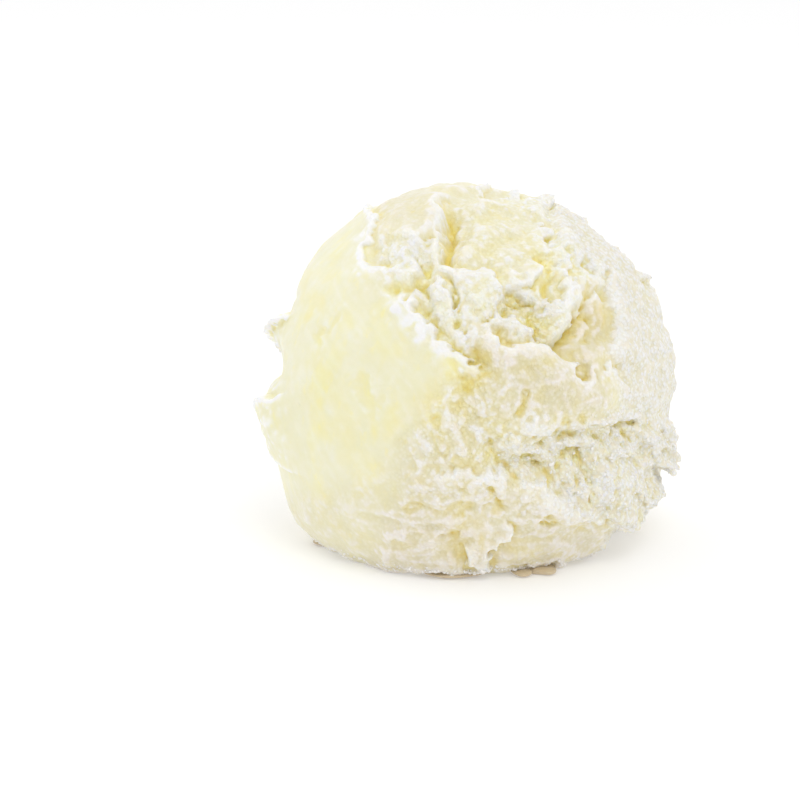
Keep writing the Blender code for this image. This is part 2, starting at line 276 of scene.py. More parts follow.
FRONT_CHANNELS = (
    # Long crevice
    (1.3, 2, "-4 32, -3.5 28, -3 24, -3.5 21.5, -3 19"),
    (0.5, 1.2, "-3.5 15.5, -2.5 13.5, -2.5 10.5, -2 8.5"),
    # Valley beside the lobe of the left sheet
    (1.2, 1.2, "-7 18, -7.5 16.5, -9 15, -11 13.5"),
    # Crevice right of the petal
    (1.4, 2.6, "17 12, 16 9, 14.5 7, 13 5"),
    # Flutes of the column
    (0.5, 0.45, "20.5 13.5, 20 10.5, 19 7.5, 18.5 6"),
    (0.7, 0.5, "18.5 12, 17.5 9, 16.5 7"),
    (0.5, 0.25, "23 13.5, 22 9.5, 21 5.5"),
    # Gaps between the crags
    (0.8, 1, "13.5 21.5, 13.5 19.5, 13 17, 11.5 14.5"),
    (0.6, 0.9, "13 26, 13.5 24"),
    (0.8, 0.8, "11.5 22, 12.5 20.5"),
    (0.7, 0.7, "19 15.5, 19.5 13"),
    (0.7, 1, "-7 25.5, -7 23.5"),
    (0.8, 1, "-8.5 14, -7.5 12.5"),
    # Holes at the tip of the left sheet
    (1.1, 0.9, "1.5 3.5, 2 1.5"),
    (1.1, 0.7, "-3 2, -1.5 0.5"),
    (1.3, 1.3, "2 0, 0 -1, -1.5 -1.5"),
    (0.6, 0.5, "-2.5 -3.5, -4.5 -3.5, -5 -4.5"),
    # Slot in the lower ledge
    (0.6, 0.9, "2.5 -15.5, 3 -17.5"),
    # Scrapes in the low band
    (0.5, 0.5, "2.5 -29, 9 -30.5, 17.5 -33, 24.5 -38"),
    (0.5, 0.5, "5 -32, 11.5 -34.5"),
    (1.2, 1, "-2.5 -23.5, -1 -25.5, 0 -28"),
    (1, 0.8, "3 -26.5, 3 -31"),
    (0.6, 0.5, "-8 -18.5, -4.5 -19, -1 -18.5"),
    # Hole at the foot
    (0.8, 1.3, "-6.5 -33, -3.5 -32.5"),
    # Dents in the left sheet
    (0.9, 0.25, "-17 0, -16 -3, -15 -5"),
    (0.8, 0.3, "-25 8.5, -26 7, -25 6"),
    (0.6, 0.25, "-21 9.5, -22.5 8"),
    # Holes of the crumbly side
    (0.8, 0.8, "14.5 -13, 16.5 -12.5, 19 -13.5"),
    (1.2, 0.9, "10 -13.5, 11.5 -15.5, 13 -14"),
    (0.9, 0.8, "11 -8, 10.5 -9.5"),
    (1.2, 1, "14 -7.5, 15.5 -8"),
    (0.7, 0.6, "17 -4.5, 18 -5"),
    (0.6, 0.6, "14 -5.5, 15.5 -5.5"),
    (0.4, 0.6, "6.5 -3, 5.5 -6"),
    (0.7, 0.6, "21.5 -8.5, 22.5 -10.5"),
    (0.6, 0.6, "26.5 -7.5, 29 -11"),
    (0.6, 0.6, "29 -7, 32 -8"),
    (0.5, 0.7, "24 -8, 25 -9.5"),
    (0.4, 0.5, "21 -11.5, 22.5 -13.5"),
    (0.6, 0.6, "8.5 -11.5, 9.5 -11"),
    (0.6, 0.8, "11 -19.5, 12.5 -20.5"),
    (1.2, 0.8, "3 -10.5, 5 -12, 6.5 -14"),
    (0.7, 0.7, "7.5 -10.5, 9.5 -11.5"),
    (0.6, 0.9, "10.5 -19.5, 12 -21"),
    (0.6, 0.7, "17 -21.5, 21 -21.5, 25 -24"),
    (0.6, 0.5, "15 -22, 18.5 -24.5"),
)

FRONT_REGIONS = (
    # left sheet
    (0, 0.03, 0, 0, "-21 49, -16 18.5, -11.5 12.5, -6.5 7, -3.5 4.5, 2 1, -2 -0.5, -5.5 -4.5, -8.5 -9, "
     "-14 -14, -48.5 -25, -63.5 -4, -58 26, -35 45.5"),
    # tongue
    (0.07, 0.25, 0.2, 0.45, "-21 42.5, -6.5 41, -4 28, -6.5 24.5, -11.5 24, -16.5 26"),
    # hollow; its high frost is partly painted light, to lift the shade on its walls
    (0.25, 0.5, 0.65, 0, "-16.5 25, -8 24.5, -3 18, 4.5 14.5, 14 14, 16 9, 12 5, 1.5 7, 2 1, -6.5 7, "
     "-11 13"),
    # bowl
    (0.2, 0.4, 0.12, 0.2, "-3.5 37, 7 44.5, 15.5 37, 13 24.5, 10 14.5, 1 15.5, -2.5 19.5"),
    # crags
    (0.42, 0.5, 0.4, 0, "7 44.5, 17 42, 24 24, 25 16.5, 21.5 15, 14 14.5, 13 19, 13 24.5, 12 33"),
    # grainy hollow
    (0.35, 1, 0.05, 0.1, "4 14, 10.5 13.5, 12 12, 11.5 6.5, 9.5 8, 6 10, 4 9.5"),
    # column
    (0.04, 0.3, 0, 0.85, "19.5 13.5, 22 15, 24 13.5, 24 9.5, 23 5, 19.5 3, 16.5 2.5, 17.5 6, 18.5 10"),
    # bulge
    (0.12, 0.5, 0.1, 0.6, "2 6.5, 10 4.5, 16 2, 21 0.5, 20.5 -5, 12 -6.5, 6 -6.5, 3 -3"),
    # under the bulge
    (0.35, 0.6, 0.15, 0.35, "-3 -0.5, 2.5 0.5, 4.5 -5.5, 13.5 -7, 10.5 -10.5, 4.5 -12, -6 -12.5, -9.5 -9, "
     "-5.5 -3.5"),
    # right
    (0.14, 0.95, 0.92, 0.1, "17 43, 32 42.5, 58 26, 59 -10, 44.5 -11, 29.5 -5, 22.5 1.5, 24 6.5, 25 15.5, "
     "22.5 19.5, 16 26.5"),
    # crumble
    (0.8, 1, 0.95, 0, "4.5 -8.5, 13.5 -7, 21.5 -4.5, 33 -5, 52.5 -12.5, 47 -21.5, 37.5 -31, 24.5 -25.5, "
     "12.5 -17.5, 4.5 -14"),
    # ledge
    (0.35, 0.6, 0.4, 0.4, "-6 -12.5, 6 -14.5, 14.5 -18, 24.5 -25.5, 9.5 -20.5, 3 -19.5, -4.5 -18.5, "
     "-9.5 -17"),
    # low band
    (0.22, 0.45, 0.45, 0.6, "-11 -20, 4.5 -20.5, 15 -21.5, 37 -32.5, 36 -38.5, 19.5 -45.5, -15.5 -46"),
    # low right
    (0.7, 0.9, 0.95, 0.1, "24 -24.5, 39.5 -27.5, 48.5 -21, 45 -37, 32.5 -39, 25 -32.5"),
)

# Yellow that is painted shade in crevices, hollows, gaps, dents and under the torn edges, and the gelato's
# own yellow in the broad mottles of the sheets
FRONT_STAINS_AND_SHADE = (
    # Crevice right of the tongue
    (1, 3, "-4 31.5, -1.5 31.5, -0.5 28, -2 25.5, -3 22, -3.5 20, -4.5 23, -4 26.5"),
    # Bowl
    (0.4, 5, "-2 31, 3.5 31, 6 25.5, 1.5 20, -1.5 22"),
    # Patch beside the lobe
    (0.65, 2.5, "-17 24.5, -13.5 25.5, -10 23, -10.5 20.5, -14 20, -16 22"),
    # Valley
    (0.5, 2, "-10.5 20, -8.5 18.5, -9 15, -11 14.5"),
    # Lump left of the long crevice
    (0.25, 3, "-8 12.5, -5.5 13.5, -5 10, -6.5 8, -9 10.5"),
    # Long crevice
    (0.85, 1.5, "-3.5 13.5, -2 11.5, -2 8, -3 6, -4 9"),
    # Pillar
    (0.35, 3, "-1 13.5, 1 13.5, 1 9, -1 9"),
    # Grainy hollow
    (0.95, 2.5, "9 12, 12.5 9.5, 12 6, 10 6, 8 8.5"),
    # Gap under the shelf of the bowl
    (0.75, 2, "9.5 18.5, 13.5 21.5, 14.5 19, 12 15, 9.5 14.5"),
    # Crevice right of the petal
    (0.8, 2, "17.5 13, 18 11, 15.5 6, 13.5 5, 14.5 8.5"),
    # Column
    (0.9, 3, "19.5 13, 22.5 13, 22 8, 19.5 3.5, 17 3, 18.5 8.5"),
    # Petal
    (0.3, 2, "12.5 12.5, 15.5 12.5, 15 9, 13 6.5"),
    # Crags
    (0.5, 3, "14.5 23.5, 17.5 21, 20 18.5, 21.5 16, 18 16, 14.5 19"),
    # Under the tip of the left sheet
    (0.9, 2.5, "-3 3, 2.5 3.5, 2.5 1, -0.5 -0.5, -3.5 -1, -4.5 0.5"),
    (0.45, 4, "-5.5 -0.5, -3 -2, 0 -4.5, -2 -7, -6 -6, -8 -3"),
    # Left sheet
    (0.45, 3, "-12 -3, -9.5 -4.5, -10.5 -9, -13 -8.5"),
    (0.5, 1.6, "-18 0.5, -16.5 0, -15.5 -4, -13.5 -8, -15 -8.5, -17 -4.5"),
    (0.6, 1.6, "-26.5 8.5, -24.5 8.5, -24.5 6, -26.5 6"),
    (0.6, 1.6, "-30.5 14, -28.5 14, -28.5 10.5, -30 10.5"),
    (0.5, 2, "-24 -2.5, -22.5 -3, -22.5 -6.5, -24 -6"),
    (0.3, 5, "-27 3, -21 3, -17 -10, -26 -12"),
    (0.35, 5, "-38.5 25, -24.5 18.5, -23.5 12.5, -30.5 14.5"),
    # Crumbly side
    (0.7, 3, "4.5 -6.5, 8.5 -6, 11 -9, 7.5 -10.5, 4.5 -9"),
    (0.8, 2.5, "9.5 -13, 12.5 -12, 14.5 -14.5, 12 -16, 9.5 -15.5"),
    (0.9, 2, "15.5 -11.5, 18.5 -11, 21 -13.5, 17.5 -13.5"),
    (1, 1.6, "13.5 -7.5, 17.5 -7.5, 17 -9.5, 14.5 -9.5"),
    (0.9, 1.6, "9.5 -8, 12 -8, 12 -10.5, 10 -10.5"),
    (0.7, 1.6, "10 -19.5, 13 -19.5, 12.5 -21, 10 -21"),
    (0.8, 1.2, "25.5 -6.5, 28.5 -6.5, 28 -8, 25.5 -8"),
    # Flap
    (0.45, 3, "-4.5 -21.5, 1 -20.5, 1.5 -24.5, -3.5 -27"),
    # Low band
    (0.2, 3, "3.5 -28, 13 -30.5, 20.5 -41, 7.5 -34"),
    # Slot in the lower ledge
    (0.8, 1.5, "2 -16.5, 3.5 -17, 3 -19.5, 2 -19"),
)

BACK_SWELLS = (
    (-1.8, 3, "-22 8, -10 12, 2 6, 6 -4, 0 -12, -14 -10, -24 -2"),
    (-1.2, 4, "14 28, 24 25, 30 14, 22 9, 12 14"),
    (-0.9, 4, "8 -16, 24 -14, 40 -18, 34 -24, 14 -24"),
    (0.8, 5, "-42 22, -24 30, -14 22, -26 13, -40 10"),
    (0.7, 6, "8 6, 26 4, 36 -6, 20 -12, 8 -6"),
    (0.7, 4, "-44 -14, -26 -12, -10 -16, -14 -23, -44 -24"),
)

BACK_CRESTS = (
    # Long torn edge of the upper sheet
    (1.1, 1.9, 1.8, 2.2, "-38 10, -32 12, -26 9, -20 11.5, -14 10, -9 12.5, -4 9.5, 2 6, 6 8.5, 12 5.5, "
     "16 8, 23 6.5, 30 9"),
    # Far bank of the hollow and the ridges in it
    (0.9, 1.4, 2.5, 1.8, "7 -6, 3 -10, -3 -12, -9 -10.5, -14 -11.5, -20 -8, -26 -5"),
    (0.8, 1.1, 2, 1.3, "-6 -6, -7.5 -2, -6 2, -8 6"),
    (0.7, 1, 1.8, 1.3, "-13 -7, -15 -2, -14 3, -17 7"),
    (0.8, 1.2, 1.8, 1.3, "3 -5, 1 -1, 2 3"),
    # Lobe and crags on the right
    (0.8, 1.3, 1.8, 1.8, "17 11, 22 13, 26 18, 24 24, 19 28"),
    (0.6, 0.9, 1.5, 1.3, "36 8, 38 14, 36 20, 39 26"),
    (0.6, 0.9, 1.5, 1.3, "14 -3, 20 -1, 27 -4, 33 -2"),
    # Ledges lower down
    (0.8, 1.2, 2.5, 1.8, "44 -13, 38 -15, 31 -13, 24 -15.5, 18 -13.5, 11 -16, 5 -14.5"),
    (0.8, 1.2, 2.5, 1.8, "-8 -16, -15 -14, -22 -16.5, -30 -14, -38 -16, -44 -13"),
    (0.5, 0.9, 1.5, 1.5, "36 -21, 28 -19.5, 20 -22, 13 -20"),
    (0.5, 0.9, 1.5, 1.5, "-14 -21, -22 -23, -30 -20.5, -38 -22"),
    (0.7, 1.2, 2, 1.5, "-16 -27, -9 -29, -3 -27, 3 -30, 10 -27.5, 17 -30, 26 -28"),
    (0.6, 1, 2, 1.5, "-44 -27, -36 -30, -29 -28"),
    # Scars in the upper sheet
    (0.4, 0.6, 1.5, 1.2, "-10 34, -2 30, 5 32, 12 28"),
    (0.4, 0.6, 1.5, 1.2, "-34 26, -28 22, -22 24"),
)

BACK_CHANNELS = (
    (1, 1.4, "-11 8, -10 2, -12 -5"),
    (0.9, 1.3, "-2 4, -3 -3, -2 -8"),
    (0.8, 1.1, "-20 6, -20 0, -18 -5"),
    (0.8, 0.9, "18 2, 23 -4, 30 -7"),
    (0.8, 0.9, "19 14, 20 20, 17 25"),
    (0.7, 0.9, "10 -19, 18 -18, 26 -20"),
    (0.6, 0.7, "-36 -18, -28 -19, -20 -18"),
    (0.6, 0.6, "-20 -32, -8 -34, 4 -33"),
    (0.9, 0.5, "-28 38, -22 32, -18 24"),
)

# The first three lie in the hollow and in dips and are painted shade; the rest are the gelato's own yellow
BACK_STAINS_AND_SHADE = (
    (0.6, 3, "-22 6, -10 10, 2 5, 4 -4, -4 -10, -16 -8, -24 -2"),
    (0.5, 4, "16 12, 22 16, 24 24, 17 25"),
    (0.5, 3, "10 -14, 22 -17, 32 -15, 28 -20, 14 -20"),
    (0.45, 5, "-30 20, -22 24, -18 16, -26 14"),
    (0.4, 4, "-20 -28, -8 -31, 6 -30, 0 -36, -14 -35"),
    (0.4, 5, "8 44, 18 40, 16 32, 6 34"),
)

BACK_REGIONS = (
    # Upper sheet
    (0.05, 0.2, 0.2, 0.1, "-60 20, -40 50, 0 60, 40 50, 60 20, 32 8, 16 7, 3 7, -10 13, -26 10"),
    # Hollow
    (0.5, 0.6, 0.1, 0, "-24 8, -10 12, 3 6, 6 -6, -3 -12, -18 -9, -26 -2"),
    # Right
    (0.15, 0.7, 0.5, 0.1, "8 6, 30 8, 60 10, 60 -12, 24 -14, 8 -8"),
    (0.7, 0.9, 0.4, 0, "14 28, 24 26, 30 14, 22 9, 13 14"),
    # Crumbly band
    (0.8, 1, 0.5, 0.1, "-60 -10, -20 -12, 5 -13, 30 -13, 60 -10, 60 -24, 20 -24, -10 -22, -60 -24"),
    # Low
    (0.2, 0.4, 0.2, 0.7, "-60 -25, -10 -24, 20 -25, 60 -25, 60 -60, 0 -62, -60 -60"),
)


# ---- lines and outlines

def typed(text):
    """The points of a text such as "2 1, 0.5 1.5"."""
    return np.array([pair.split() for pair in text.split(",")], float)


def rounded(before, here, after, beyond, steps=4):
    """Points of a curve that passes through each corner."""
    t = (np.arange(steps) / steps)[:, None, None]
    curve = 0.5 * (2 * here + (after - before) * t + (2 * before - 5 * here + 4 * after - beyond) * t ** 2
                   + (3 * here - before - 3 * after + beyond) * t ** 3)
    return curve.transpose(1, 0, 2).reshape(-1, 2)


def smooth_outline(text):
    """A closed curve."""
    here = typed(text)
    before, after, beyond = [np.roll(here, step, axis=0) for step in (1, -1, -2)]
    return rounded(before, here, after, beyond)


def open_curve(text):
    """A curve with two ends."""
    line = typed(text)
    line = np.vstack([2 * line[0] - line[1], line, 2 * line[-1] - line[-2]])
    return np.vstack([rounded(line[:-3], line[1:-2], line[2:-1], line[3:]), line[-2]])


def spline_noise(u, v, seed):
    """Smooth noise with one knot a unit, deviation 1."""
    knots = np.random.default_rng(seed).standard_normal((NOISE_KNOTS, NOISE_KNOTS)).astype(np.float32)
    i, j = np.floor(u).astype(np.int32), np.floor(v).astype(np.int32)
    across, along = spline_parts(u - i), spline_parts(v - j)
    total = 0.0
    for a in range(4):
        for b in range(4):
            total = total + across[a] * along[b] * knots[(i + a) % NOISE_KNOTS, (j + b) % NOISE_KNOTS]
    return total / NOISE_DEVIATION


def spline_parts(t):
    """Weights of the four knots round a spot on a cubic B-spline."""
    inner = -3 * t ** 3 + 3 * t ** 2 + 3 * t + 1
    return (1 - t) ** 3 / 6, (3 * t ** 3 - 6 * t ** 2 + 4) / 6, inner / 6, t ** 3 / 6


def smooth_step(value):
    t = np.clip(value, 0, 1)
    return t * t * (3 - 2 * t)


def smooth_union(a, b, blend):
    """The lower of two fields, with the crease between them filled over `blend` mm."""
    mix = np.clip(0.5 + 0.5 * (b - a) / blend, 0, 1)
    return b * (1 - mix) + a * mix - blend * mix * (1 - mix)


# ---- charts of the skin

class Chart:
    """A flat map of the ball's skin round a facing direction, on which the relief is drawn."""

    def __init__(self, view, seed, swells, crests, channels, stains_and_shade, regions):
        self.facing, self.up = view
        self.seed = seed
        line = np.arange(-CHART_REACH, CHART_REACH + CHART_STEP / 2, CHART_STEP).astype(np.float32)
        self.count = len(line)
        x, y = np.meshgrid(line, line, indexing="ij")
        self.plain = x, y
        # Every line wanders by about half a mm, and torn edges have teeth about 1.3 and 0.55 mm wide
        self.x = x + 0.55 * self.noise(4.0, 1) + 0.22 * self.noise(1.6, 2)
        self.y = y + 0.55 * self.noise(4.0, 3) + 0.22 * self.noise(1.6, 4)
        self.teeth = 0.7 * self.ridges(1.3, 5) + 0.36 * self.ridges(0.55, 6)
        self.broken = 0.5 + 0.5 * smooth_step(0.7 + 0.5 * self.noise(1.4, 10))
        self.maps = {"height": 0.3 * self.noise(9.0, 7) + 0.14 * self.noise(3.6, 8)}
        self.maps.update((name, np.full_like(x, start)) for name, start in PLAIN_SKIN.items())
        for add, rows in ((self.add_swell, swells), (self.add_crest, crests), (self.add_channel, channels),
                          (self.add_stain_and_shade, stains_and_shade), (self.add_region, regions)):
            for row in rows:
                add(*row)
        self.add_texture()
        self.maps["deep"] *= 1 - np.clip(self.maps["rim"], 0, 1)

    def noise(self, size, seed, stretch=1.0, turn=0.0):
        x, y = self.plain
        along = (x * math.cos(turn) + y * math.sin(turn)) / (size * stretch)
        across = (y * math.cos(turn) - x * math.sin(turn)) / size
        return spline_noise(along, across, self.seed + seed)

    def ridges(self, *recipe):
        """Sharp ridges with rounded valleys between them."""
        return 0.8 - np.abs(self.noise(*recipe))

    def mark(self, name, amount, part=...):
        """Raise a map to `amount` where it is lower."""
        self.maps[name][part] = np.maximum(self.maps[name][part], amount)

    def window(self, line, margin):
        low = np.maximum(((line.min(0) - margin + CHART_REACH) / CHART_STEP).astype(int), 0)
        high = np.minimum(((line.max(0) + margin + CHART_REACH) / CHART_STEP).astype(int) + 1, self.count)
        return slice(low[0], high[0]), slice(low[1], high[1])

    def near_line(self, line, part):
        """Distance to a line, positive on the left of it, and how far along it the nearest point is."""
        x, y = self.x[part], self.y[part]
        nearest = np.full(x.shape, np.inf, np.float32)
        side = np.zeros_like(nearest)
        place = np.zeros_like(nearest)
        start = 0.0
        for (ax, ay), (bx, by) in zip(line, line[1:]):
            ex, ey = bx - ax, by - ay
            length = math.hypot(ex, ey) + 1e-9
            along = np.clip(((x - ax) * ex + (y - ay) * ey) / length ** 2, 0, 1)
            square = (x - ax - along * ex) ** 2 + (y - ay - along * ey) ** 2
            closer = square < nearest
            nearest[closer] = square[closer]
            side[closer] = np.sign(ex * (y - ay) - ey * (x - ax))[closer]
            place[closer] = (start + along * length)[closer]
            start += length
        return np.sqrt(nearest) * side, place, start

    def inside_outline(self, outline, part):
        """Distance to a closed outline, positive inside."""
        x, y = self.x[part], self.y[part]
        distance, _, _ = self.near_line(np.vstack([outline, outline[:1]]), part)
        inside = np.zeros(x.shape, bool)
        for (ax, ay), (bx, by) in zip(outline, np.roll(outline, -1, axis=0)):
            if ay != by:
                inside ^= ((ay > y) != (by > y)) & (x - ax < (y - ay) * (bx - ax) / (by - ay))
        return np.where(inside, np.abs(distance), -np.abs(distance))

    def add_swell(self, amount, bank, outline):
        outline = smooth_outline(outline)
        part = self.window(outline, bank + 2)
        self.maps["height"][part] += amount * smooth_step(self.inside_outline(outline, part) / bank + 0.5)

    def add_crest(self, rise, drop, behind, before, corners):
        line = open_curve(corners)
        part = self.window(line, CREST_WINDOW)
        side, place, length = self.near_line(line, part)
        fade = min(CREST_FADE * max(rise, 1), length / 2.5)
        weight = smooth_step(place / fade) * smooth_step((length - place) / fade)
        side = side + self.teeth[part]
        high = rise * np.exp(-(np.maximum(side, 0) / behind) ** (1 if rise > THIN_FLAKE else 2))
        step = smooth_step(-side / CLIFF_WIDTH)
        low = (rise - drop) * np.exp(np.minimum(side + CLIFF_WIDTH, 0) / before)
        self.maps["height"][part] += weight * np.where(side > 0, high, rise * (1 - step) + low * step)
        # From here on for the colours: a white band on the edge, partly frost and partly painted highlight,
        # and painted shade in yellow under it
        weight = weight * min(FULL_CREST / rise, 1) ** 2
        edge = weight * np.exp(-((side - RIM_WIDTH / 2) / RIM_WIDTH) ** 2) * self.broken[part]
        edge = np.maximum(edge, 0.45 * weight * (side > 0) * np.exp(-(side / PALE_BAND) ** 2))
        self.mark("rim", edge, part)
        dark = weight * min(drop / FULL_CREST, 1) * smooth_step(-side / 0.4)
        self.maps["deep"][part] *= 1 - edge
        self.mark("deep", dark * np.exp(np.minimum(side, 0) / (0.7 * before)), part)

    def add_channel(self, width, depth, corners):
        line = open_curve(corners)
        part = self.window(line, 3 * width + 2)
        off, _, _ = self.near_line(line, part)
        off = np.abs(off) + 0.6 * self.teeth[part]
        pit = np.exp(-(off / width) ** 2)
        self.maps["height"][part] -= depth * pit
        # Painted shade: yellow along the bottom of the channel
        self.mark("deep", pit * min(depth / FULL_CHANNEL, 1), part)

    def add_stain_and_shade(self, strength, border, outline):
        outline = smooth_outline(outline)
        part = self.window(outline, border + 2)
        mottled = strength * smooth_step(0.75 + 0.55 * self.noise(1.7, 11)[part])
        self.mark("deep", mottled * smooth_step(self.inside_outline(outline, part) / border + 0.5), part)

    def add_region(self, *row):
        outline = smooth_outline(row[-1])
        part = self.window(outline, 6)
        inside = self.inside_outline(outline, part)
        for (name, bank), value in zip(REGION_BANKS.items(), row):
            self.maps[name][part] += smooth_step(inside / bank + 0.5) * (value - self.maps[name][part])

    def add_texture(self):
        """Torn, drawn-out grain over the whole skin, strongest where it is crumbly."""
        x, y = self.plain
        crumb, grain = self.maps["crumb"], self.maps["grain"]
        strength = 0.04 + 0.7 * crumb + 0.04 * grain
        torn = 0.45 * self.ridges(3.2, 21) + 0.3 * self.ridges(1.5, 22)
        torn += 0.1 * self.ridges(0.7, 23)
        torn += 0.45 * smooth_step(2 * crumb - 0.8) * self.ridges(1.5, 27, 2.6, 0.1)
        # Broken steps, with a pale edge, partly frost and partly painted highlight, and painted shade in
        # yellow below it
        for size, tall, seed in ((2.8, 0.6, 31), (1.5, 0.4, 33)):
            breaks = self.noise(size, seed) + 0.45 * self.noise(0.4 * size, seed + 1)
            self.maps["height"] += tall * crumb * smooth_step(breaks / 0.2 + 0.5)
            edge = np.clip(2.2 * crumb, 0, 1) * np.exp(-((breaks - 0.14) / 0.16) ** 2) * self.broken
            self.mark("rim", 0.8 * edge)
            self.mark("deep", 0.7 * np.clip(2 * crumb, 0, 1) * np.exp(-((breaks + 0.2) / 0.22) ** 2))
        self.maps["height"] += 0.2 * smooth_step(4 * grain) * self.noise(2.2, 29)
        # Drag marks: round the limb, slanted in the middle and level at the bottom
        off = np.hypot(x, y)
        round_ = np.arctan2(y, x) * 36.0
        limb = spline_noise(round_ / 5.0, off / 0.9, self.seed + 24)
        drawn = self.noise(0.8, 25, 4.0, math.radians(-52))
        low = self.noise(0.8, 26, 5.0, 0.0)
        outer = smooth_step((off - 26) / 8)
        lower = smooth_step((-y - 16) / 5) * (1 - outer)
        streak = drawn * (1 - outer) * (1 - lower) + limb * outer + low * lower
        drag = 0.03 + 0.12 * crumb + 0.1 * grain + 0.1 * lower
        self.maps["height"] += strength * torn + drag * (0.8 - np.abs(streak))
        # Painted shade in yellow in the drag grooves of the lower part
        groove = smooth_step(np.abs(low) - 0.6) * smooth_step(0.5 + self.noise(5.0, 30))
        self.mark("deep", 0.3 * lower * groove)

    def read(self, places):
        """All maps at places on the chart."""
        spot = np.clip((places + CHART_REACH) / CHART_STEP, 0, self.count - 1.001)
        cell = spot.astype(np.int32)
        fx, fy = (spot - cell).T
        i, j = cell.T
        found = {}
        for name, values in self.maps.items():
            values = values.astype(np.float32)
            low = values[i, j] * (1 - fx) + values[i + 1, j] * fx
            high = values[i, j + 1] * (1 - fx) + values[i + 1, j + 1] * fx
            found[name] = low * (1 - fy) + high * fy
        return found


def unrolled(directions, facing, up):
    """mm across and up on the ball's skin, measured from the point that lies towards `facing`."""
    across = -np.cross(facing, up)
    x = directions @ across.astype(np.float32)
    y = directions @ np.asarray(up, np.float32)
    off_axis = np.hypot(x, y)
    angle = np.arctan2(off_axis, directions @ np.asarray(facing, np.float32))
    scale = BALL_RADIUS * angle / np.maximum(off_axis, 1e-6)
    return np.stack([x * scale, y * scale], axis=1)


# ---- the grid and its noise

class Grid:
    """A block of cells, and the shell of them near the scoop's skin, where all the work is done."""

    def __init__(self):
        self.low = np.array(GRID_LOW)
        self.shape = tuple(math.ceil((b - a) / GRID_STEP) + 1 for a, b in zip(GRID_LOW, GRID_HIGH))
        x, y, z = [(self.low[k] + np.arange(self.shape[k]) * GRID_STEP).astype(np.float32) for k in range(3)]
        rise = z[None, None, :] - np.float32(BALL_HEIGHT)
        flat = x[:, None, None] ** 2 + y[None, :, None] ** 2
        distance = np.sqrt(flat + rise ** 2)
        level = np.sqrt(flat) / BALL_RADIUS
        down = np.maximum(-rise, 0) / SKIRT_REACH
        skirt = np.maximum(level ** SKIRT_POWER + down ** SKIRT_POWER, 1e-9) ** (1.0 / SKIRT_POWER)
        reach = np.where(rise < 0, distance / skirt, BALL_RADIUS)
        self.above_skin = (distance - reach).astype(np.float32)
        shell = (self.above_skin > -SHELL_INSIDE) & (self.above_skin < SHELL_OUTSIDE)
        shell &= z[None, None, :] > -2 * GRID_STEP
        self.cells = np.flatnonzero(shell)
        i, j, k = np.unravel_index(self.cells, self.shape)
        self.places = np.stack([x[i], y[j], z[k]], axis=1)
        centred = self.places - np.array((0, 0, BALL_HEIGHT), np.float32)
        self.directions = centred / np.linalg.norm(centred, axis=1)[:, None]
        self.height = self.above_skin.ravel()[self.cells]

    def cloud(self, size, seed, stretch=(1.0, 1.0, 1.0)):
        """Smooth noise with bumps of `size`, one number per cell of the shell, deviation 1."""
        draw = np.random.default_rng(seed)
        blends = [spline_weights(count, size * s, draw.random()) for count, s in zip(self.shape, stretch)]
        knots = draw.standard_normal([blend.shape[1] for blend in blends]).astype(np.float32)
        block = np.einsum("ia,abc->ibc", blends[0], knots, optimize=True)
        block = np.einsum("jb,ibc->ijc", blends[1], block, optimize=True)
        block = np.matmul(block, blends[2].T)
        values = block.ravel()[self.cells]
        return values / values.std()


def spline_weights(count, size, shift):
    """How much each knot of a coarse lattice counts at each grid line, as a cubic B-spline."""
    spot = np.arange(count) * GRID_STEP / size + shift
    knot = np.floor(spot).astype(int)
    t = spot - knot
    weights = np.zeros((count, knot.max() + 4), np.float32)
    for offset, part in enumerate(spline_parts(t)):
        weights[np.arange(count), knot + offset] = part
    return weights


# ---- the scoop's field

def read_charts(directions):
    """What both charts say in each direction, the back one only behind the front one's edge."""
    charts = (Chart(FRONT, 100, FRONT_SWELLS, FRONT_CRESTS, FRONT_CHANNELS, FRONT_STAINS_AND_SHADE, FRONT_REGIONS),
              Chart(BACK, 200, BACK_SWELLS, BACK_CRESTS, BACK_CHANNELS, BACK_STAINS_AND_SHADE, BACK_REGIONS))
    share = smooth_step((directions @ np.array(FRONT[0], np.float32) + 0.35) / 0.3)
    front, back = [chart.read(unrolled(directions, chart.facing, chart.up)) for chart in charts]
    return {name: front[name] * share + back[name] * (1 - share) for name in front}


def scatter(grid, block, draw, density, sizes, lift, weight):
    """Add small lumps at random places on the surface."""
    values = block.ravel()[grid.cells]
    surface = np.flatnonzero(np.abs(values) < GRID_STEP / 2)
    chance = density * GRID_STEP ** 2 * weight[surface]
    for cell in surface[draw.random(len(surface)) < chance]:
        radius = draw.uniform(*sizes)
        centre = grid.places[cell] + grid.directions[cell] * draw.uniform(*lift) * radius
        add_blob(grid, block, centre, radius * draw.uniform(0.75, 1.3, 3))


def add_blob(grid, block, centre, radii):
    """Join one ellipsoid to the field."""
    reach = radii.max() + 2 * GRID_STEP
    first = np.maximum(((centre - reach - grid.low) / GRID_STEP).astype(int), 0)
    last = np.minimum(((centre + reach - grid.low) / GRID_STEP).astype(int) + 2, grid.shape)
    squares = []
    for k in range(3):
        line = grid.low[k] + np.arange(first[k], last[k]) * GRID_STEP - centre[k]
        squares.append((line / radii[k]) ** 2)
    sizes = np.sqrt(squares[0][:, None, None] + squares[1][None, :, None] + squares[2][None, None, :])
    shape = (sizes - 1) * radii.min()
    part = block[first[0]:last[0], first[1]:last[1], first[2]:last[2]]
    part[...] = smooth_union(part, shape, LUMP_BLEND)


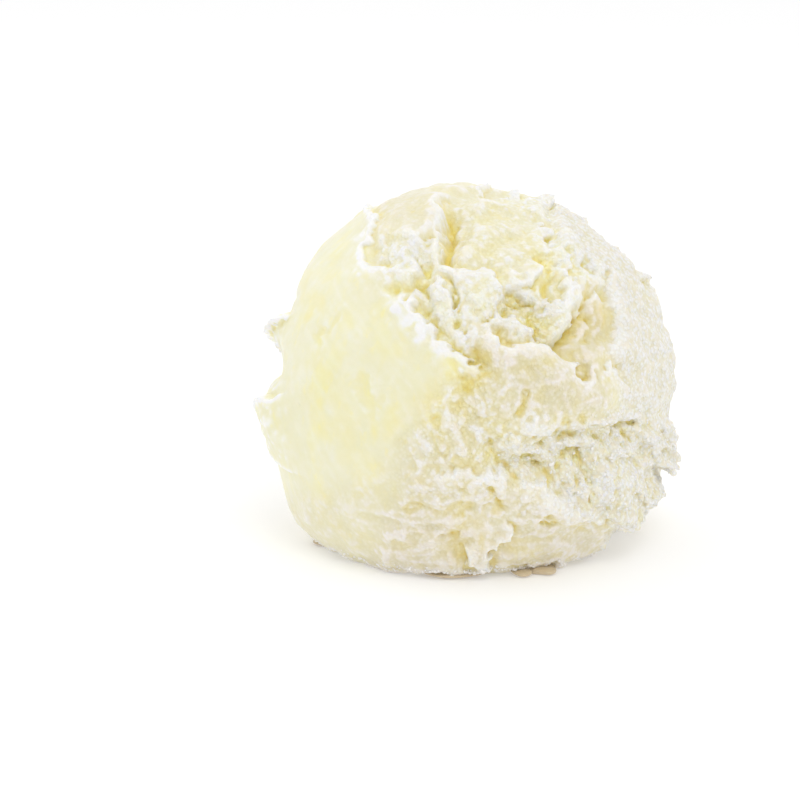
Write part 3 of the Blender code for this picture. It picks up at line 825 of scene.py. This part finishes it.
def build_field():
    """The field's block, negative inside the scoop, and what the surface is like in each cell."""
    grid = Grid()
    draw = np.random.default_rng(LUMP_SEED)
    with ThreadPoolExecutor(4) as pool:
        jobs = {name: pool.submit(grid.cloud, *recipe) for name, recipe in CLOUDS.items()}
        traits = read_charts(grid.directions)
    noise = {name: job.result() for name, job in jobs.items()}
    crumb = traits["crumb"]
    rough = 0.2 * np.abs(noise["crag"]) - 0.2 + 0.12 * noise["strata"] - 0.16 * np.abs(noise["crumb"])
    fine = 0.01 + 0.04 * crumb + 0.07 * traits["grain"]
    flat = grid.above_skin.ravel().copy()
    flat[grid.cells] = grid.height - traits.pop("height") - crumb * rough - fine * noise["grain"]
    block = flat.reshape(grid.shape)
    loose = np.clip(crumb * 1.8 - 0.35, 0, 1)
    for density, sizes, lift in LUMPS:
        scatter(grid, block, draw, density, sizes, lift, loose)
    x, y, z = [grid.low[k] + np.arange(grid.shape[k]) * GRID_STEP for k in range(3)]
    plan_x, plan_y = np.meshgrid(x, y, indexing="ij")
    off_axis = np.hypot(plan_x, plan_y)
    off_axis += 0.9 * spline_noise(plan_x / 3.2, plan_y / 3.2, 41) + 0.4 * spline_noise(plan_x, plan_y, 42)
    lifted = smooth_step((off_axis - FOOT_RADIUS) / FOOT_BANK)
    lifted = lifted * (FOOT_LIFT + 0.4 * spline_noise(plan_x / 1.4, plan_y / 1.4, 43))
    return grid, np.maximum(block, (lifted[:, :, None] - z[None, None, :]).astype(np.float32)), traits


def blurred(solid, radius):
    """Share of solid in a soft ball of this radius round every cell."""
    half = max(int(round(radius / GRID_STEP / 1.7)), 1)
    for axis in (0, 1, 2) * 2:
        total = np.cumsum(solid, axis=axis, dtype=np.float32)
        ahead = np.take(total, np.minimum(np.arange(total.shape[axis]) + half, total.shape[axis] - 1), axis)
        behind = np.take(total, np.maximum(np.arange(total.shape[axis]) - half - 1, 0), axis)
        solid = (ahead - behind) / (2 * half + 1)
    return solid


def read_block(block, spots):
    """Trilinear reading of a block at spots counted in cells."""
    spots = np.clip(spots, 0, np.array(block.shape) - 1.001)
    cell = spots.astype(np.int32)
    part = (spots - cell).T
    total = 0.0
    for corner in np.ndindex(2, 2, 2):
        weight = np.prod([p if c else 1 - p for p, c in zip(part, corner)], axis=0)
        i, j, k = (cell + corner).T
        total = total + weight * block[i, j, k]
    return total


def corner_vectors(mesh, name):
    values = np.empty(len(mesh.vertices) * 3, np.float32)
    mesh.vertices.foreach_get(name, values)
    return values.reshape(-1, 3)


def paint(mesh, grid, block, traits):
    """Store on each corner of the mesh what the material needs to know about that place."""
    spots = (corner_vectors(mesh, "co") / MM - grid.low) / GRID_STEP
    solid = np.clip(0.5 - block / GRID_STEP, 0, 1).astype(np.float32)
    tone = {"narrow": blurred(solid, NARROW_BALL), "wide": blurred(solid, WIDE_BALL)}
    for name, values in traits.items():
        whole = np.zeros(block.size, np.float32)
        whole[grid.cells] = values
        tone[name] = whole.reshape(block.shape)
    for name, values in tone.items():
        stored = mesh.attributes.new(name, "FLOAT", "POINT")
        stored.data.foreach_set("value", read_block(values, spots).astype(np.float32))


def surface_mesh(grid, block):
    """The closed surface where the field is zero."""
    volume = openvdb.FloatGrid(FIELD_LIMIT)
    volume.copyFromArray(np.ascontiguousarray(np.clip(block, -FIELD_LIMIT, FIELD_LIMIT)))
    points, triangles, quads = volume.convertToPolygons(isovalue=0.0, adaptivity=0.0)
    mesh = bpy.data.meshes.new("gelato")
    mesh.vertices.add(len(points))
    mesh.vertices.foreach_set("co", ((points * GRID_STEP + grid.low) * MM).astype(np.float32).ravel())
    corners = np.concatenate([quads.ravel(), triangles.ravel()]).astype(np.int32)
    mesh.loops.add(len(corners))
    mesh.loops.foreach_set("vertex_index", corners)
    starts = np.concatenate([np.arange(len(quads)) * 4, len(quads) * 4 + np.arange(len(triangles)) * 3])
    mesh.polygons.add(len(starts))
    mesh.polygons.foreach_set("loop_start", starts.astype(np.int32))
    mesh.update(calc_edges=True)
    mesh.validate()
    return mesh


def keep_largest(mesh):
    """Delete scraps that hang free of the scoop."""
    count = len(mesh.vertices)
    edges = np.empty(len(mesh.edges) * 2, np.int32)
    mesh.edges.foreach_get("vertices", edges)
    a, b = edges.reshape(-1, 2).T
    label = np.arange(count)
    while True:
        low = np.minimum(label[a], label[b])
        fresh = label.copy()
        np.minimum.at(fresh, a, low)
        np.minimum.at(fresh, b, low)
        fresh = fresh[fresh]
        if (fresh == label).all():
            break
        label = fresh
    names, sizes = np.unique(label, return_counts=True)
    scraps = np.flatnonzero(label != names[sizes.argmax()])
    if len(scraps):
        work = bmesh.new()
        work.from_mesh(mesh)
        work.verts.ensure_lookup_table()
        bmesh.ops.delete(work, geom=[work.verts[k] for k in scraps], context="VERTS")
        work.to_mesh(mesh)
        work.free()


def limit_triangles(scoop):
    """Thin the mesh out, most where it is smooth."""
    count = sum(len(face.vertices) - 2 for face in scoop.data.polygons)
    if count <= TRIANGLE_LIMIT:
        return
    thinner = scoop.modifiers.new("thinner", "DECIMATE")
    thinner.ratio = TRIANGLE_LIMIT / count
    evaluated = scoop.evaluated_get(bpy.context.evaluated_depsgraph_get())
    mesh = bpy.data.meshes.new_from_object(evaluated)
    scoop.modifiers.clear()
    scoop.data = mesh


# ---- materials

def fill_in(node, settings):
    for socket, value in settings.items():
        node.inputs[socket].default_value = value


def new_material(name, settings):
    material = bpy.data.materials.new(name)
    material.use_nodes = True
    shader = material.node_tree.nodes["Principled BSDF"]
    fill_in(shader, settings)
    return material, material.node_tree.nodes, material.node_tree.links, shader


def gelato_material():
    """Frozen cream: light soaks in; hollows get painted shade in yellow; rims and crystals are white, partly
    frost and partly painted highlight.
    """
    material, nodes, links, shader = new_material("lemon_gelato", {
        "Roughness": 0.42, "IOR": 1.38, "Subsurface Weight": 0.85,
        "Subsurface Radius": (1.0, 0.94, 0.8), "Subsurface Scale": 0.7 * MM})

    def math_node(operation, *values, clamp=False):
        node = nodes.new("ShaderNodeMath")
        node.operation = operation
        node.use_clamp = clamp
        for socket, value in zip(node.inputs, values):
            if isinstance(value, (int, float)):
                socket.default_value = value
            else:
                links.new(value, socket)
        return node.outputs[0]

    def plus(a, b, clamp=False):
        return math_node("ADD", a, b, clamp=clamp)

    def times(a, b):
        return math_node("MULTIPLY", a, b)

    def without(share):
        return math_node("SUBTRACT", 1.0, share)

    def stored(name):
        node = nodes.new("ShaderNodeAttribute")
        node.attribute_name = name
        return node.outputs["Fac"]

    def noise(size_mm, detail=2.0, stretch=(1.0, 1.0, 1.0)):
        scaled = nodes.new("ShaderNodeMapping")
        scaled.inputs["Scale"].default_value = [1 / s for s in stretch]
        links.new(coords.outputs["Object"], scaled.inputs["Vector"])
        node = nodes.new("ShaderNodeTexNoise")
        fill_in(node, {"Scale": 1 / (size_mm * MM), "Detail": detail})
        links.new(scaled.outputs[0], node.inputs["Vector"])
        return node.outputs["Fac"]

    def ramp(value, low, high):
        node = nodes.new("ShaderNodeMapRange")
        node.interpolation_type = "SMOOTHSTEP"
        fill_in(node, {"From Min": low, "From Max": high})
        links.new(value, node.inputs["Value"])
        return node.outputs[0]

    def blend(share, a, b, how="MIX"):
        node = nodes.new("ShaderNodeMix")
        node.data_type = "RGBA"
        node.blend_type = how
        links.new(share, node.inputs["Factor"])
        for socket, colour in ((node.inputs[6], a), (node.inputs[7], b)):
            if isinstance(colour, tuple):
                socket.default_value = (*colour, 1.0)
            else:
                links.new(colour, socket)
        return node.outputs[2]

    coords = nodes.new("ShaderNodeTexCoord")
    crumb, grain, frost, painted_shade = stored("crumb"), stored("grain"), stored("frost"), stored("painted_shade")
    rim, stain_and_shade, narrow, wide = stored("rim"), stored("deep"), stored("narrow"), stored("wide")
    granule = nodes.new("ShaderNodeTexVoronoi")
    granule.inputs["Scale"].default_value = 1 / (0.6 * MM)
    links.new(coords.outputs["Object"], granule.inputs["Vector"])
    gap = ramp(granule.outputs["Distance"], 0.32, 0.68)
    sugar_and_highlight = ramp(granule.outputs["Distance"], 0.45, 0.15)

    # Yellow: painted shade in hollows, the gelato's own smudges and flecks, and the stain-and-shade map, but
    # not on torn edges
    smudge = ramp(noise(4.5, 4.0, (1.0, 1.0, 1.6)), 0.5, 0.68)
    fleck = ramp(noise(1.3, 3.0, (1.0, 1.0, 2.0)), 0.58, 0.75)
    hollow = plus(ramp(narrow, 0.54, 0.8), times(ramp(wide, 0.56, 0.8), 0.4))
    lemon = plus(times(hollow, 0.6), times(smudge, 0.3))
    lemon = plus(lemon, times(fleck, 0.35), clamp=True)
    lemon = plus(lemon, times(stain_and_shade, 0.65), clamp=True)
    lemon = times(lemon, without(times(rim, 0.8)))

    # White: painted highlight where it stands proud, the gelato's own veins and frost, and on torn edges and
    # crystals partly frost and partly painted highlight
    proud = ramp(narrow, 0.52, 0.38)
    vein = ramp(noise(3.0, 5.0), 0.45, 0.75)
    white = plus(times(proud, 0.9), times(vein, 0.15))
    white = plus(white, times(frost, 0.7))
    white = plus(white, times(rim, 1.4))
    white = plus(white, times(times(sugar_and_highlight, grain), 0.5), clamp=True)

    colour = blend(lemon, CREAM, LEMON)
    colour = blend(times(white, without(times(lemon, 0.6))), colour, FROST)
    # Painted shade: beige on faces that get less light, but not on torn edges
    colour = blend(times(painted_shade, without(rim)), colour, SHADE_BEIGE, "MULTIPLY")
    # Painted shade between the grains
    colour = blend(times(gap, grain), colour, GAP_SHADE, "MULTIPLY")
    # Painted shade: a warm tint in hollows and on the stain-and-shade map
    shade = plus(times(stain_and_shade, 0.7), ramp(narrow, 0.56, 0.85), clamp=True)
    links.new(blend(shade, colour, HOLLOW_SHADE, "MULTIPLY"), shader.inputs["Base Color"])

    # Bumps finer than the mesh
    lumps = math_node("SUBTRACT", times(noise(0.35, 2.0), 1.2), times(gap, 0.5))
    fine = times(lumps, math_node("MULTIPLY_ADD", grain, 0.7, 0.1))
    coarse = times(noise(0.9, 2.0), math_node("MULTIPLY_ADD", crumb, 1.0, 0.1))
    bump = nodes.new("ShaderNodeBump")
    fill_in(bump, {"Strength": 1.0, "Distance": 0.3 * MM})
    links.new(plus(fine, coarse), bump.inputs["Height"])
    links.new(bump.outputs[0], shader.inputs["Normal"])
    return material


def crumb_material():
    """Loose crumbs are white and let little light in."""
    return new_material("crumbs", {"Base Color": (*FROST, 1.0), "Roughness": 0.6, "IOR": 1.31})[0]


def melt_material():
    """Gelato that has melted and dried at the edge: beige, glossy, let through by light."""
    material, nodes, links, shader = new_material("melted_gelato", {
        "Roughness": 0.15, "IOR": 1.36, "Subsurface Weight": 0.4,
        "Subsurface Radius": (1.0, 0.9, 0.7), "Subsurface Scale": 0.5 * MM})
    cloudy = nodes.new("ShaderNodeTexNoise")
    cloudy.inputs["Scale"].default_value = 1 / (1.5 * MM)
    ramp = nodes.new("ShaderNodeValToRGB")
    for element, place, colour in zip(ramp.color_ramp.elements, (0.35, 0.7), (MELT, MELT_PALE)):
        element.position = place
        element.color = (*colour, 1.0)
    links.new(cloudy.outputs["Fac"], ramp.inputs["Fac"])
    links.new(ramp.outputs["Color"], shader.inputs["Base Color"])
    return material


# ---- pieces

def linked(name, data):
    thing = bpy.data.objects.new(name, data)
    bpy.context.scene.collection.objects.link(thing)
    return thing


def dress(piece, material):
    """Smooth shading, a material, and a place on the scoop's body."""
    piece.data.shade_smooth()
    piece.data.materials.clear()
    piece.data.materials.append(material)
    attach(piece, "root")


def make_scoop():
    grid, block, traits = build_field()
    mesh = surface_mesh(grid, block)
    keep_largest(mesh)
    scoop = linked("gelato", mesh)
    limit_triangles(scoop)
    paint(scoop.data, grid, block, traits)
    dress(scoop, gelato_material())
    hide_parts("gelato_scoop")
    return scoop.data


def crumb_weight(mesh, points):
    """Crumbs lie round the foot, and a few wherever the skin is crumbly, frosty and proud."""
    tone = {}
    for name in ("crumb", "frost", "narrow"):
        tone[name] = np.empty(len(points), np.float32)
        mesh.attributes[name].data.foreach_get("value", tone[name])
    foot = smooth_step(2.2 - points[:, 2]) * smooth_step(np.hypot(points[:, 0], points[:, 1]) - 21)
    exposed = smooth_step((0.58 - tone["narrow"]) / 0.1)
    weight = exposed * smooth_step((tone["frost"] - 0.5) / 0.3) * 0.15 * tone["crumb"] + foot
    return weight * (points[:, 2] > CRUMB_FLOOR)


def make_crumbs(mesh):
    """Small uneven bits that sit in the scoop's skin, all in one mesh."""
    points, normals = corner_vectors(mesh, "co") / MM, corner_vectors(mesh, "normal")
    draw = np.random.default_rng(CRUMB_SEED)
    weight = crumb_weight(mesh, points)
    chosen = draw.choice(len(points), CRUMBS, replace=False, p=weight / weight.sum())
    ball = bmesh.new()
    bmesh.ops.create_icosphere(ball, subdivisions=1, radius=1.0)
    corners = np.array([vert.co for vert in ball.verts])
    faces = np.array([[vert.index for vert in face.verts] for face in ball.faces])
    ball.free()
    radius = draw.uniform(*CRUMB_RADIUS, CRUMBS)
    turns = np.linalg.qr(draw.normal(size=(CRUMBS, 3, 3)))[0]
    shape = corners[None] * draw.uniform(0.6, 1.3, (CRUMBS, 1, 3))
    shape = shape * draw.uniform(0.8, 1.2, (CRUMBS, len(corners), 1))
    shape = np.einsum("nij,nkj->nki", turns, shape) * radius[:, None, None]
    centres = points[chosen] - normals[chosen] * (radius * draw.uniform(*CRUMB_SINK, CRUMBS))[:, None]
    places = (shape + centres[:, None]).reshape(-1, 3) * MM
    indices = (faces[None] + np.arange(CRUMBS)[:, None, None] * len(corners)).reshape(-1, 3)
    bits = bpy.data.meshes.new("crumbs")
    bits.from_pydata(places.tolist(), [], indices.tolist())
    dress(linked("crumbs", bits), crumb_material())


def make_drops():
    """Small flat drops on the floor, half under the lifted rim."""
    draw = np.random.default_rng(DROP_SEED)
    work = bmesh.new()
    for angle, wide, deep in DROPS:
        made = bmesh.ops.create_icosphere(work, subdivisions=4, radius=1.0)["verts"]
        places = np.array([vert.co for vert in made])
        places *= 1 + 0.12 * spline_noise(places[:, 0] * 1.7 + angle, places[:, 1] * 1.7, 51)[:, None]
        places[:, 2] = np.maximum(places[:, 2], -DROP_BELLY) + DROP_BELLY
        places *= (deep, wide, DROP_TALL * draw.uniform(0.8, 1.0))
        turn = math.radians(angle)
        out = places[:, 0] + DROP_REACH * draw.uniform(0.99, 1.01)
        x = out * math.cos(turn) - places[:, 1] * math.sin(turn)
        y = out * math.sin(turn) + places[:, 1] * math.cos(turn)
        for vert, place in zip(made, np.stack([x, y, places[:, 2]], axis=1) * MM):
            vert.co = place
    mesh = bpy.data.meshes.new("melt")
    work.to_mesh(mesh)
    work.free()
    dress(linked("melt", mesh), melt_material())


# ---- floor, light and camera

def make_stage():
    """A white floor that glows a little, so its shadows stay pale, and a white room darker at the front."""
    bpy.ops.mesh.primitive_plane_add(size=6.0)
    floor = bpy.context.object
    floor.name = "floor"
    floor.data.materials.append(new_material("floor_white", {
        "Base Color": (0.8, 0.8, 0.8, 1.0), "Roughness": 1.0, "Specular IOR Level": 0.0,
        "Emission Color": (1.0, 1.0, 1.0, 1.0), "Emission Strength": FLOOR_GLOW})[0])
    world = bpy.data.worlds.new("studio")
    world.use_nodes = True
    nodes = world.node_tree.nodes
    links = world.node_tree.links
    coords = nodes.new("ShaderNodeTexCoord")
    towards = nodes.new("ShaderNodeVectorMath")
    towards.operation = "DOT_PRODUCT"
    towards.inputs[1].default_value = Vector(BRIGHT_SIDE).normalized()
    links.new(coords.outputs["Generated"], towards.inputs[0])
    shade = nodes.new("ShaderNodeMapRange")
    shade.interpolation_type = "SMOOTHSTEP"
    fill_in(shade, {"From Min": -0.9, "From Max": 0.6, "To Min": ROOM_DARK, "To Max": ROOM_BRIGHT})
    links.new(towards.outputs["Value"], shade.inputs["Value"])
    nodes["Background"].inputs["Color"].default_value = (1.0, 1.0, 1.0, 1.0)
    links.new(shade.outputs[0], nodes["Background"].inputs["Strength"])
    bpy.context.scene.world = world


def area_light(name, place, size, power):
    light = bpy.data.lights.new(name, "AREA")
    light.size = size
    light.energy = power
    lamp = linked(name, light)
    lamp.location = place
    aim = Vector((0, 0, BALL_HEIGHT * MM)) - Vector(place)
    lamp.rotation_euler = aim.to_track_quat("-Z", "Y").to_euler()


def make_camera():
    """Look at the scoop from the front and a little above, with it right of the picture's middle."""
    data = bpy.data.cameras.new("camera")
    data.lens = CAMERA_LENS
    data.sensor_width = CAMERA_SENSOR
    camera = linked("camera", data)
    pixels_per_tangent = data.lens / data.sensor_width * PICTURE
    centre = Vector((0, 0, BALL_HEIGHT * MM))
    towards = Vector((0, math.cos(VIEW_LIFT), -math.sin(VIEW_LIFT)))
    right = Vector((1, 0, 0))
    up = right.cross(towards)
    camera.location = centre - towards * CAMERA_DISTANCE
    shift_right = (BALL_PIXEL[0] - PICTURE / 2) / pixels_per_tangent * CAMERA_DISTANCE
    shift_up = (PICTURE / 2 - BALL_PIXEL[1]) / pixels_per_tangent * CAMERA_DISTANCE
    aim = centre - right * shift_right - up * shift_up
    camera.rotation_euler = (aim - camera.location).to_track_quat("-Z", "Y").to_euler()
    bpy.context.scene.camera = camera


bpy.context.scene.view_settings.view_transform = "Standard"
make_crumbs(make_scoop())
make_drops()
make_stage()
for name, recipe in LAMPS.items():
    area_light(name, *recipe)
make_camera()
